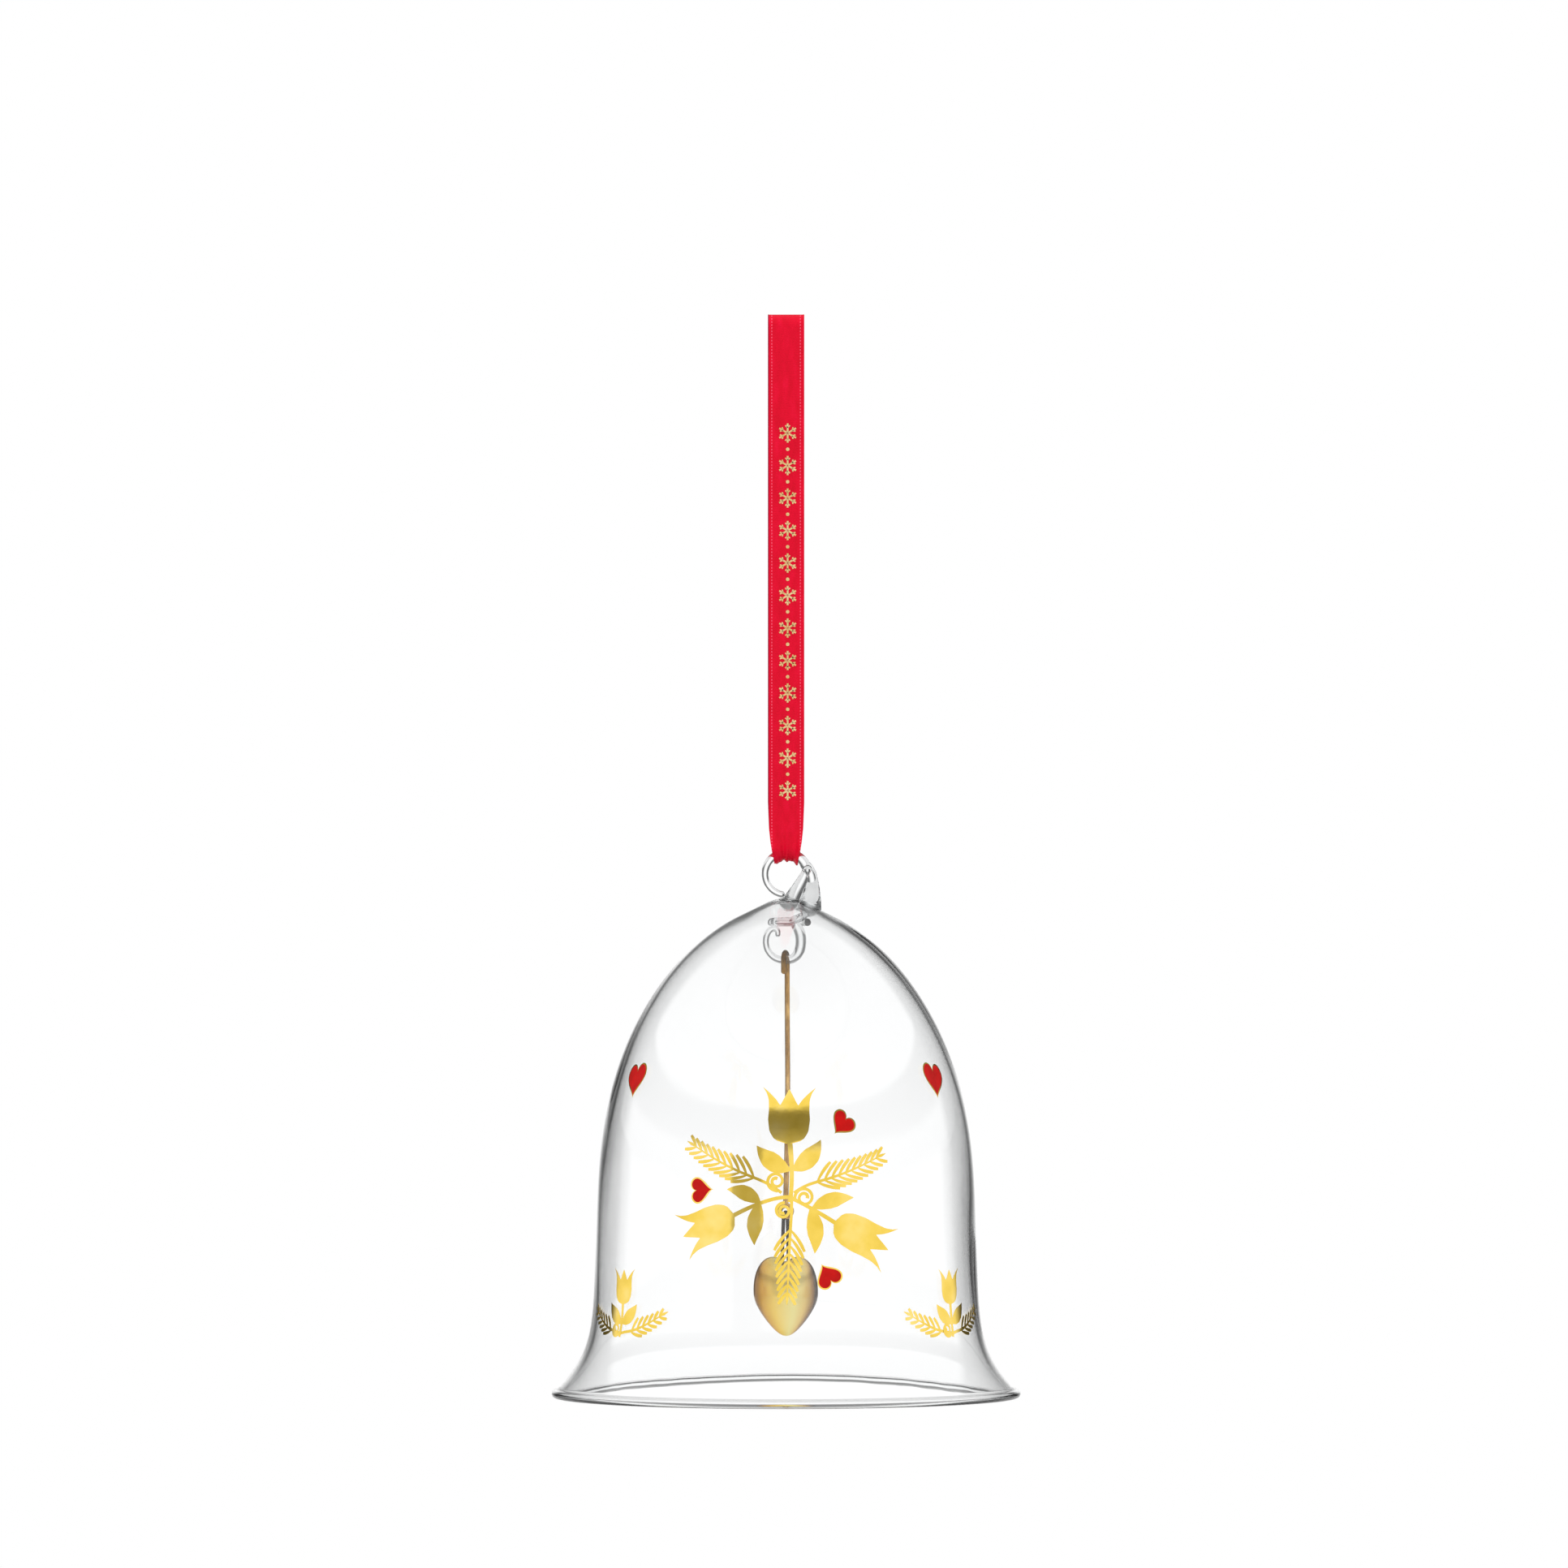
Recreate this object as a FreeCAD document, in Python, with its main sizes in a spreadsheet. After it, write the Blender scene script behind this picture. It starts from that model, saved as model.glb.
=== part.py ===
import FreeCAD, Part
import os

import Sketcher

# A glass Christmas bell hanging on a loop of satin ribbon, with a heart clapper.
# Millimetres, +Z up. The origin is the top of the ribbon's fold, where the ornament hangs.
# The bell's own heights are counted up from the bottom of its rim, which is "drop" below.

DIMENSIONS = {
    "drop": 208.6,
    # rim and wall of the bell shell
    "bead_centre": 44.4,
    "bead": 0.8,
    "wall": 1.0,
    # control points of the shell's outline, from the rim to the crown
    "lip_radius": 44.4,
    "lip_height": 1.3,
    "flare_radius": 41.4,
    "flare_height": 4.4,
    "ankle_radius": 38.0,
    "ankle_height": 9.5,
    "waist_radius": 37.0,
    "waist_height": 19.0,
    "side_radius": 36.6,
    "side_height": 34.0,
    "hip_radius": 36.0,
    "hip_height": 51.3,
    "shoulder_radius": 31.3,
    "shoulder_height": 68.5,
    "dome_radius": 22.8,
    "dome_height": 82.6,
    "neck_radius": 13.5,
    "neck_height": 90.7,
    "collar_radius": 8.2,
    "collar_height": 93.0,
    "crown_radius": 5.5,
    "crown_height": 95.3,
    "crest_height": 92.0,
    # solid glass button on the crown, and the open curl it carries
    "button_rise": 1.4,
    "button_top": 3.2,
    "curl": 4.05,
    "curl_height": 100.8,
    "curl_rod": 0.8,
    "curl_tip_angle": 257.0,
    "root_centre": 3.3,
    "root_base": 2.2,
    # solid glass under the crown: a flat turn, and the open ring below it
    "coil": 3.4,
    "coil_rod": 0.75,
    "coil_height": 91.3,
    "ring": 3.25,
    "ring_rod": 0.75,
    "ring_height": 87.4,
    "ring_tip_angle": 105.0,
    # clapper wire
    "wire": 0.5,
    "hook": 1.4,
    "hook_tail": 2.2,
    "hook_yaw": -15.0,
    "eye": 1.1,
    "eye_height": 35.9,
    # heart and its bail
    "bail_rod": 0.35,
    "bail_bend": 1.1,
    "bail_gap": 0.08,
    "bail_foot": 2.0,
    "bail_foot_height": 24.0,
    "bail_yaw": -20.0,
    "heart_height": 19.4,
    "lobe_length": 7.9,
    "lobe_width": 3.3,
    "lobe_offset": 1.7,
    "lobe_tilt": 13.0,
    # ribbon
    "ribbon_width": 7.0,
    "ribbon_thick": 0.4,
    "fold": 2.5,
    "bend": 1.6,
    "bend_thick": 0.7,
    "bend_gap": 0.05,
    "bend_half_angle": 34.0,
    "gather_width": 4.6,
    "gather_length": 9.0,
    "gather_overlap": 0.4,
    "lap_length": 12.0,
    "lap_drop": 70.0,
}

doc = FreeCAD.newDocument("GlassBell")
dims = doc.addObject("Spreadsheet::Sheet", "Dims")
for row, (word, size) in enumerate(DIMENSIONS.items(), start=1):
    dims.set(f"A{row}", word)
    dims.set(f"B{row}", str(size))
    dims.setAlias(f"B{row}", word)
doc.recompute()

nodes = []


def node(piece, label):
    """Name a finished sub-part and put it on the list that is written out."""
    piece.Label = label
    nodes.append(piece)
    return piece


def bind(piece, **sizes):
    for name, expression in sizes.items():
        piece.setExpression(name, expression)


def place(piece, across="0", away="0", up="0", axis=(0, 0, 1), turn="0"):
    """Bind a piece's position, and its turn about one axis, to the sheet."""
    piece.Placement.Rotation = FreeCAD.Rotation(FreeCAD.Vector(*axis), 1)
    piece.setExpression("Placement.Base.x", across)
    piece.setExpression("Placement.Base.y", away)
    piece.setExpression("Placement.Base.z", up)
    piece.setExpression("Placement.Rotation.Angle", turn)


def body(name):
    return doc.addObject("PartDesign::Body", name)


def sketch_on(owner, name, role, lift=None):
    """A sketch on one of the body's origin planes, lifted off it by an expression."""
    sketch = owner.newObject("Sketcher::SketchObject", name)
    planes = [feature for feature in owner.Origin.OriginFeatures if feature.Role == role]
    sketch.AttachmentSupport = [(planes[0], "")]
    sketch.MapMode = "FlatFace"
    if lift is not None:
        sketch.setExpression("AttachmentOffset.Base.z", lift)
    return sketch


def number(expression):
    return float(dims.evalExpression(expression.replace("Dims.", "")))


def spot(across, up):
    return FreeCAD.Vector(number(across), number(up), 0)


def hold(sketch, kind, expression, *where):
    """Add one constraint whose size the sheet decides."""
    index = sketch.addConstraint(Sketcher.Constraint(kind, *where, number(expression)))
    sketch.setExpression(f"Constraints[{index}]", expression)


def pin(sketch, geometry, point, across, up):
    hold(sketch, "DistanceX", across, -1, 1, geometry, point)
    hold(sketch, "DistanceY", up, -1, 1, geometry, point)


def line(sketch, start, end):
    """A line pinned at both ends; each end is a pair of expressions."""
    geometry = sketch.addGeometry(Part.LineSegment(spot(*start), spot(*end)), False)
    pin(sketch, geometry, 1, *start)
    pin(sketch, geometry, 2, *end)
    return geometry


def polygon(sketch, corners):
    for start, end in zip(corners, corners[1:] + corners[:1]):
        line(sketch, start, end)


def rectangle(sketch, centre, wide, deep):
    """A rectangle about a centre on the sketch's vertical axis."""
    left, right = f"-({wide}) / 2", f"({wide}) / 2"
    low, high = f"{centre} - ({deep}) / 2", f"{centre} + ({deep}) / 2"
    polygon(sketch, [(left, low), (right, low), (right, high), (left, high)])


def curve(sketch, poles):
    """A cubic B-spline whose control points are pinned; each is a pair of expressions."""
    spline = Part.BSplineCurve([spot(*pole) for pole in poles], None, None, False, 3, None, False)
    geometry = sketch.addGeometry(spline, False)
    sketch.exposeInternalGeometry(geometry)
    for index, pole in enumerate(poles, start=1):
        pin(sketch, geometry + index, 3, *pole)


def circle(sketch, centre, radius):
    disc = Part.Circle(spot(*centre), FreeCAD.Vector(0, 0, 1), number(radius))
    geometry = sketch.addGeometry(disc, False)
    pin(sketch, geometry, 3, *centre)
    hold(sketch, "Radius", radius, geometry)


def arc(sketch, centre, radius, start, end):
    """An arc run anticlockwise between two angles in degrees, its centre and radius held."""
    disc = Part.Circle(spot(*centre), FreeCAD.Vector(0, 0, 1), number(radius))
    first = FreeCAD.Units.Quantity(f"{start} deg").getValueAs("rad").Value
    last = FreeCAD.Units.Quantity(f"{end} deg").getValueAs("rad").Value
    geometry = sketch.addGeometry(Part.ArcOfCircle(disc, first, last), False)
    pin(sketch, geometry, 3, *centre)
    hold(sketch, "Radius", radius, geometry)
    return geometry


def half_ring(sketch, centre_up, inner, outer, start, end):
    """The upper or lower half of an annulus centred on the sketch's vertical axis."""
    for radius in (inner, outer):
        edge = arc(sketch, ("0", centre_up), radius, start, end)
        hold(sketch, "DistanceY", centre_up, -1, 1, edge, 1)
        hold(sketch, "DistanceY", centre_up, -1, 1, edge, 2)
    for side in ("-", ""):
        line(sketch, (f"{side}({inner})", centre_up), (f"{side}({outer})", centre_up))


def pipe(owner, name, spine, profile):
    feature = owner.newObject("PartDesign::AdditivePipe", name)
    feature.Profile = profile
    feature.Spine = spine
    return feature


def revolution(owner, name, sketch):
    feature = owner.newObject("PartDesign::Revolution", name)
    feature.Profile = sketch
    feature.ReferenceAxis = (sketch, ["V_Axis"])
    feature.Angle = 360
    return feature


def symmetric_pad(owner, name, sketch, width):
    feature = owner.newObject("PartDesign::Pad", name)
    feature.Profile = sketch
    feature.Midplane = True
    bind(feature, Length=width)
    return feature


# Each station of the outline, with how far the inner wall stands in from it: across and down.
STATIONS = {
    "lip": (0.5, 0.5),
    "flare": (0.8, 0.7),
    "ankle": (1.1, 0.3),
    "waist": (1.0, 0.0),
    "side": (1.0, 0.0),
    "hip": (1.0, 0.2),
    "shoulder": (0.9, 0.6),
    "dome": (0.7, 0.8),
    "neck": (0.5, 1.1),
    "collar": (0.2, 1.7),
}


def bell_shell():
    owner = body("BellShell")
    wall = sketch_on(owner, "WallSketch", "XZ_Plane")
    crown = ("Dims.crown_radius", "Dims.crown_height")
    outer = [(f"Dims.{name}_radius", f"Dims.{name}_height") for name in STATIONS] + [crown]
    inner = [
        (f"Dims.{name}_radius - {inward} * Dims.wall", f"Dims.{name}_height - {down} * Dims.wall")
        for name, (inward, down) in STATIONS.items()
    ]
    inner += [("Dims.crown_radius", "Dims.crest_height"), ("0", "Dims.crest_height")]
    curve(wall, outer)
    curve(wall, inner)
    line(wall, inner[0], outer[0])
    line(wall, crown, ("0", "Dims.crown_height"))
    line(wall, ("0", "Dims.crown_height"), inner[-1])
    revolution(owner, "Wall", wall)
    bead = sketch_on(owner, "BeadSketch", "XZ_Plane")
    circle(bead, ("Dims.bead_centre", "Dims.bead"), "Dims.bead")
    revolution(owner, "RimBead", bead)
    place(owner, up="-Dims.drop")
    return node(owner, "bell_shell")


def crown_button():
    button = doc.addObject("Part::Cone", "CrownButton")
    bind(
        button,
        Radius1="Dims.crown_radius",
        Radius2="Dims.button_top",
        Height="Dims.button_rise",
    )
    place(button, up="Dims.crown_height - Dims.drop")
    return node(button, "crown_button")


def hanging_loop():
    """An open curl of drawn glass: a thick root on the button, then a thin round rod."""
    owner = body("HangingLoop")
    top = "Dims.curl_height"
    rod = sketch_on(owner, "RodSection", "XY_Plane", top)
    circle(rod, ("Dims.curl", "0"), "Dims.curl_rod")
    spine = sketch_on(owner, "CurlSpine", "XZ_Plane")
    turn = arc(spine, ("0", top), "Dims.curl", 0, DIMENSIONS["curl_tip_angle"])
    hold(spine, "DistanceY", top, -1, 1, turn, 1)
    tip = "Dims.curl_height + Dims.curl * sin(Dims.curl_tip_angle)"
    hold(spine, "DistanceY", tip, -1, 1, turn, 2)
    pipe(owner, "Curl", spine, rod)
    foot = sketch_on(owner, "RootFoot", "XY_Plane", "Dims.crown_height + Dims.button_rise")
    circle(foot, ("Dims.root_centre", "0"), "Dims.root_base")
    head = sketch_on(owner, "RootHead", "XY_Plane", top)
    circle(head, ("Dims.curl", "0"), "Dims.curl_rod")
    root = owner.newObject("PartDesign::AdditiveLoft", "Root")
    root.Profile = foot
    root.Sections = [head]
    place(owner, up="-Dims.drop")
    return node(owner, "hanging_loop")


def crown_coil():
    coil = doc.addObject("Part::Torus", "CrownCoil")
    bind(coil, Radius1="Dims.coil", Radius2="Dims.coil_rod")
    place(coil, up="Dims.coil_height - Dims.drop")
    return node(coil, "crown_coil")


def clapper_ring():
    """An open ring of glass rod that drops from the coil and turns round under it."""
    owner = body("ClapperRing")
    rod = sketch_on(owner, "RingRod", "XY_Plane", "Dims.coil_height")
    circle(rod, ("Dims.ring", "0"), "Dims.ring_rod")
    spine = sketch_on(owner, "RingSpine", "XZ_Plane")
    centre = "Dims.ring_height"
    start = DIMENSIONS["ring_tip_angle"]
    turn = arc(spine, ("0", centre), "Dims.ring", start, 360)
    hold(spine, "DistanceY", centre, -1, 1, turn, 2)
    tip = "Dims.ring_height + Dims.ring * sin(Dims.ring_tip_angle)"
    hold(spine, "DistanceY", tip, -1, 1, turn, 1)
    line(spine, ("Dims.ring", centre), ("Dims.ring", "Dims.coil_height"))
    pipe(owner, "Ring", spine, rod)
    place(owner, up="-Dims.drop")
    return node(owner, "clapper_ring")


PIVOT = "(Dims.ring_height - Dims.ring)"


def clapper_wire():
    """A hook round the glass ring, a straight rod and a small closed eye at its foot."""
    owner = body("HookAndRod")
    tail_end = ("-Dims.hook", "-Dims.hook_tail")
    section = sketch_on(owner, "WireSection", "XY_Plane", "-Dims.hook_tail")
    circle(section, ("0", "-Dims.hook"), "Dims.wire")
    spine = sketch_on(owner, "WireSpine", "YZ_Plane")
    line(spine, tail_end, ("-Dims.hook", "0"))
    hook = arc(spine, ("0", "0"), "Dims.hook", 0, 180)
    hold(spine, "DistanceY", "0", -1, 1, hook, 2)
    rod_end = spot("0", f"Dims.eye_height + Dims.eye - {PIVOT}")
    rod = spine.addGeometry(Part.LineSegment(spot("Dims.hook", "0"), rod_end), False)
    pin(spine, rod, 2, "0", f"Dims.eye_height + Dims.eye - {PIVOT}")
    spine.addConstraint(Sketcher.Constraint("Tangent", rod, 1, hook, 1))
    pipe(owner, "HookAndRodWire", spine, section)
    place(owner, up=f"{PIVOT} - Dims.drop", turn="Dims.hook_yaw")
    eye = doc.addObject("Part::Torus", "Eye")
    bind(eye, Radius1="Dims.eye", Radius2="Dims.wire")
    place(eye, up="Dims.eye_height - Dims.drop", axis=(1, 0, 0), turn="90")
    whole = doc.addObject("Part::Fuse", "ClapperWire")
    whole.Base = owner
    whole.Tool = eye
    return node(whole, "clapper_wire")


def heart_bail():
    """A narrow loop of thin wire that hangs in the eye, its feet sealed into the heart."""
    owner = body("HeartBail")
    apex = "Dims.eye_height - Dims.eye + Dims.wire + Dims.bail_rod + Dims.bail_gap"
    centre = f"{apex} - Dims.bail_bend"
    foot_up = "Dims.bail_foot_height"
    section = sketch_on(owner, "BailSection", "XY_Plane", foot_up)
    circle(section, ("0", "-Dims.bail_foot"), "Dims.bail_rod")
    spine = sketch_on(owner, "BailSpine", "YZ_Plane")
    bow = arc(spine, ("0", centre), "Dims.bail_bend", 5, 175)
    for side, end in (("-", 2), ("", 1)):
        shoulder = spot(f"{side}Dims.bail_bend", centre)
        foot = spot(f"{side}Dims.bail_foot", foot_up)
        leg = spine.addGeometry(Part.LineSegment(foot, shoulder), False)
        pin(spine, leg, 1, f"{side}Dims.bail_foot", foot_up)
        spine.addConstraint(Sketcher.Constraint("Tangent", leg, 2, bow, end))
    pipe(owner, "Bail", spine, section)
    place(owner, up="-Dims.drop", turn="Dims.bail_yaw")
    return node(owner, "heart_bail")


# Control points of a lobe's outline, as shares of its half width and half length.
EGG = [(0.3, -1.0), (1.0, -0.45), (1.4, 0.5), (0.75, 1.0)]


def right_lobe():
    """One half of the heart: an egg, pointed below, that leans outwards at its top."""
    owner = body("RightLobe")
    outline = sketch_on(owner, "LobeOutline", "XZ_Plane")
    foot, head = ("0", "-Dims.lobe_length"), ("0", "Dims.lobe_length")
    egg = [(f"{out} * Dims.lobe_width", f"{up} * Dims.lobe_length") for out, up in EGG]
    curve(outline, [foot] + egg + [head])
    line(outline, head, foot)
    revolution(owner, "Egg", outline)
    up = "Dims.heart_height - Dims.drop"
    place(owner, across="Dims.lobe_offset", up=up, axis=(0, 1, 0), turn="Dims.lobe_tilt")
    return owner


def clapper_heart(bail):
    right = right_lobe()
    left = doc.addObject("Part::Mirroring", "LeftLobe")
    left.Source = right
    left.Normal = (1, 0, 0)
    both = doc.addObject("Part::Fuse", "Lobes")
    both.Base = right
    both.Tool = left
    heart = doc.addObject("Part::Cut", "ClapperHeart")
    heart.Base = both
    heart.Tool = bail
    return node(heart, "clapper_heart")


# The ribbon's strands run from the top fold down to where it is gathered for the glass loop.
FOLD_UP = "(-(Dims.fold + Dims.ribbon_thick))"
ROD_UP = "(Dims.curl_height + Dims.curl - Dims.drop)"
BEND_UP = f"({ROD_UP} - Dims.curl_rod - Dims.bend_gap + Dims.bend)"
GATHER_UP = f"({BEND_UP} + Dims.gather_length)"


def strand_inside(up):
    """How far the strand's inner face stands from the middle plane at a height."""
    fall = f"(({up} - {FOLD_UP}) / ({BEND_UP} - {FOLD_UP}))"
    return f"(Dims.fold + (Dims.bend - Dims.fold) * {fall})"


def flat_strip(name, label, side, high, low, lift="0"):
    """A straight stretch of tape, side by side with the middle plane, between two heights."""
    owner = body(name)
    outline = sketch_on(owner, f"{name}Outline", "YZ_Plane")
    outer = f"{lift} + Dims.ribbon_thick"
    rounds = ((high, lift), (low, lift), (low, outer), (high, outer))
    polygon(outline, [(f"{side}({strand_inside(up)} + {skin})", up) for up, skin in rounds])
    symmetric_pad(owner, f"{name}Tape", outline, "Dims.ribbon_width")
    return node(owner, label)


def ribbon_fold():
    owner = body("RibbonFold")
    outline = sketch_on(owner, "FoldOutline", "YZ_Plane")
    half_ring(outline, FOLD_UP, "Dims.fold", "Dims.fold + Dims.ribbon_thick", 0, 180)
    symmetric_pad(owner, "FoldTape", outline, "Dims.ribbon_width")
    return node(owner, "ribbon_fold")


def ribbon_gather(name, label, side):
    """The tape pulled together, from its full width to the narrow bend."""
    owner = body(name)
    wide = sketch_on(owner, f"{name}Wide", "XY_Plane", GATHER_UP)
    middle = f"{side}({strand_inside(GATHER_UP)} + Dims.ribbon_thick / 2)"
    rectangle(wide, middle, "Dims.ribbon_width", "Dims.ribbon_thick")
    narrow = sketch_on(owner, f"{name}Narrow", "XY_Plane", f"{BEND_UP} - Dims.gather_overlap")
    low_middle = f"{side}(Dims.bend + Dims.bend_thick / 2)"
    rectangle(narrow, low_middle, "Dims.gather_width", "Dims.bend_thick")
    taper = owner.newObject("PartDesign::AdditiveLoft", f"{name}Tape")
    taper.Profile = wide
    taper.Sections = [narrow]
    return node(owner, label)


def ribbon_bend():
    """The gathered tape where it passes under the curved glass rod and follows its arch."""
    owner = body("RibbonBend")
    outline = sketch_on(owner, "BendOutline", "YZ_Plane")
    rise = "Dims.curl - Dims.curl_rod - Dims.bend_gap + Dims.bend"
    half_ring(outline, rise, "Dims.bend", "Dims.bend + Dims.bend_thick", 180, 360)
    bend = owner.newObject("PartDesign::Revolution", "BendTape")
    bend.Profile = outline
    bend.ReferenceAxis = (outline, ["H_Axis"])
    bend.Midplane = True
    bind(bend, Angle="2 * Dims.bend_half_angle")
    place(owner, up="Dims.curl_height - Dims.drop")
    return node(owner, "ribbon_bend")


def ribbon():
    ribbon_fold()
    flat_strip("FrontStrand", "ribbon_front", "-", FOLD_UP, GATHER_UP)
    flat_strip("BackStrand", "ribbon_back", "", FOLD_UP, GATHER_UP)
    lap_low = "(-Dims.lap_drop - Dims.lap_length)"
    flat_strip("LapEnd", "ribbon_lap", "", "(-Dims.lap_drop)", lap_low, "Dims.ribbon_thick")
    ribbon_gather("FrontGather", "ribbon_gather_front", "-")
    ribbon_gather("BackGather", "ribbon_gather_back", "")
    ribbon_bend()


bell_shell()
crown_button()
hanging_loop()
crown_coil()
clapper_ring()
clapper_wire()
clapper_heart(heart_bail())
ribbon()
doc.recompute()

for thing in doc.Objects:
    if "Invalid" in thing.State or "Error" in thing.State:
        raise RuntimeError(f"{thing.Name} failed: {thing.State}")
for piece in nodes:
    if piece.Shape.isNull() or not piece.Shape.isValid() or not piece.Shape.Solids:
        raise RuntimeError(f"{piece.Label} has no good shape")

os.makedirs("parts", exist_ok=True)
for piece in nodes:
    piece.Shape.exportStep(f"parts/{piece.Label}.step")
    box = piece.Shape.BoundBox
    print(f"{piece.Label:20s} solids {len(piece.Shape.Solids)} volume {piece.Shape.Volume:9.2f} "
          f"x {box.XMin:.2f}..{box.XMax:.2f} y {box.YMin:.2f}..{box.YMax:.2f} "
          f"z {box.ZMin:.2f}..{box.ZMax:.2f}")
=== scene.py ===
import math

import bmesh
import bpy
import numpy as np
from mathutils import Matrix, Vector


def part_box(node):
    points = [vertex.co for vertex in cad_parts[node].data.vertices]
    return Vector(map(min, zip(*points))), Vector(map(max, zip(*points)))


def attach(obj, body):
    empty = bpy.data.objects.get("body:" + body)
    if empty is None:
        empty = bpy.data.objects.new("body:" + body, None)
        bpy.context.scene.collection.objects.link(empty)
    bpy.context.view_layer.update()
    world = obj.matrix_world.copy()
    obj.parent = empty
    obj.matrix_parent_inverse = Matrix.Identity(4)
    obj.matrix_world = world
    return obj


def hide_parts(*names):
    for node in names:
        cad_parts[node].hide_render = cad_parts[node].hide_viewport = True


# A clear glass Christmas bell on a satin ribbon, with a heart clapper. Lengths in this script
# are in millimetres, from the bottom of the bell's rim, unless a name says metres. The helpers
# below turn them into metres in the frame, where the origin is the top of the ribbon.

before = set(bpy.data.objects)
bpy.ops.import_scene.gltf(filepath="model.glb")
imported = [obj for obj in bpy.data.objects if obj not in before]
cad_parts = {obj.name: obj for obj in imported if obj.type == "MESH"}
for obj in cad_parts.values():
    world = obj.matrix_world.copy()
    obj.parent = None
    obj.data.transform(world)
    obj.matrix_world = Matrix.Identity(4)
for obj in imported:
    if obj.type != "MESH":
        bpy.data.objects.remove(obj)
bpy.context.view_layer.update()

MM = 0.001
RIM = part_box("bell_shell")[0].z


def to_frame(points):
    """Millimetres above the rim to metres in the frame."""
    placed = np.asarray(points, float) * MM
    placed[..., 2] += RIM
    return placed


# ---------------------------------------------------------------- meshes


def piece(name, verts, faces, material, body, smooth=True):
    """A mesh object that rides on a body, with the given material."""
    mesh = bpy.data.meshes.new(name)
    mesh.from_pydata([tuple(v) for v in verts], [], [tuple(f) for f in faces])
    shape = bmesh.new()
    shape.from_mesh(mesh)
    bmesh.ops.recalc_face_normals(shape, faces=shape.faces)
    shape.to_mesh(mesh)
    shape.free()
    mesh.polygons.foreach_set("use_smooth", [smooth] * len(mesh.polygons))
    thing = bpy.data.objects.new(name, mesh)
    bpy.context.scene.collection.objects.link(thing)
    mesh.materials.append(material)
    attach(thing, body)
    return thing


def grid_faces(rows, columns, closed=False, start=0):
    """Quads of a grid whose points run along the rows; closed joins the last column round."""
    last = columns if closed else columns - 1
    faces = []
    for row in range(rows - 1):
        for column in range(last):
            a = start + row * columns + column
            b = start + row * columns + (column + 1) % columns
            faces.append((a, b, b + columns, a + columns))
    return faces


def turned_faces(rows, sides):
    """Quads round closed rows, and fans from the first and last row to the two points after."""
    faces = grid_faces(rows, sides, closed=True)
    first_end, last_end, last = rows * sides, rows * sides + 1, (rows - 1) * sides
    for k in range(sides):
        following = (k + 1) % sides
        faces.append((following, k, first_end))
        faces.append((last + k, last + following, last_end))
    return faces


def spline(poles, count):
    """Points along a clamped cubic B-spline."""
    poles = np.asarray(poles, float)
    degree, size = 3, len(poles)
    inside = np.arange(size - degree + 1)
    knots = np.concatenate([[0] * degree, inside, [inside[-1]] * degree]).astype(float)
    where = np.linspace(0, inside[-1] - 1e-9, count)
    basis = [((knots[i] <= where) & (where < knots[i + 1])).astype(float)
             for i in range(len(knots) - 1)]
    for step in range(1, degree + 1):
        raised = []
        for i in range(len(basis) - 1):
            left, right = knots[i + step] - knots[i], knots[i + step + 1] - knots[i + 1]
            value = np.zeros_like(where)
            if left > 0:
                value += (where - knots[i]) / left * basis[i]
            if right > 0:
                value += (knots[i + step + 1] - where) / right * basis[i + 1]
            raised.append(value)
        basis = raised
    return np.stack(basis[:size], axis=1) @ poles


def along(points):
    """The distance run at each point of a path."""
    steps = np.linalg.norm(np.diff(points, axis=0), axis=1)
    return np.concatenate([[0], np.cumsum(steps)])


DOME = (0.4, 0.8, 1.2, 1.5)


def dome(centre, direction, circle, radius):
    """The rings that round off a rod's end, at the DOME angles from its last ring."""
    return [centre + direction * radius * math.sin(angle) + circle * radius * math.cos(angle)
            for angle in DOME]


def rod(name, path, radii, material, body, sides=32, closed=False):
    """A round rod along a path, its radius one number or one for each point, with domed ends."""
    path = np.asarray(path, float)
    radii = np.broadcast_to(np.asarray(radii, float), len(path))
    ahead = np.gradient(path, axis=0)
    if closed:
        ahead = np.roll(path, -1, axis=0) - np.roll(path, 1, axis=0)
    ahead /= np.linalg.norm(ahead, axis=1)[:, None]
    side = np.cross(ahead[0], (0.31, 0.92, 0.23))
    rings = []
    turn = np.linspace(0, 2 * math.pi, sides, endpoint=False)
    for index, direction in enumerate(ahead):
        side = side - direction * np.dot(side, direction)
        side /= np.linalg.norm(side)
        other = np.cross(direction, side)
        circle = np.outer(np.cos(turn), side) + np.outer(np.sin(turn), other)
        rings.append((path[index], direction, circle, radii[index]))
    rows = [centre + circle * radius for centre, _, circle, radius in rings]
    if closed:
        verts = np.concatenate(rows)
        faces = grid_faces(len(rows) + 1, sides, closed=True)
        faces = [tuple(v % len(verts) for v in face) for face in faces]
    else:
        centre, direction, circle, radius = rings[0]
        rows = dome(centre, -direction, circle, radius)[::-1] + rows + dome(*rings[-1])
        verts = np.concatenate(rows)
        faces = grid_faces(len(rows), sides, closed=True)
        faces.append(tuple(range(sides))[::-1])
        faces.append(tuple(len(verts) - sides + k for k in range(sides)))
    return piece(name, to_frame(verts), faces, material, body)


# ---------------------------------------------------------------- materials


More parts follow.
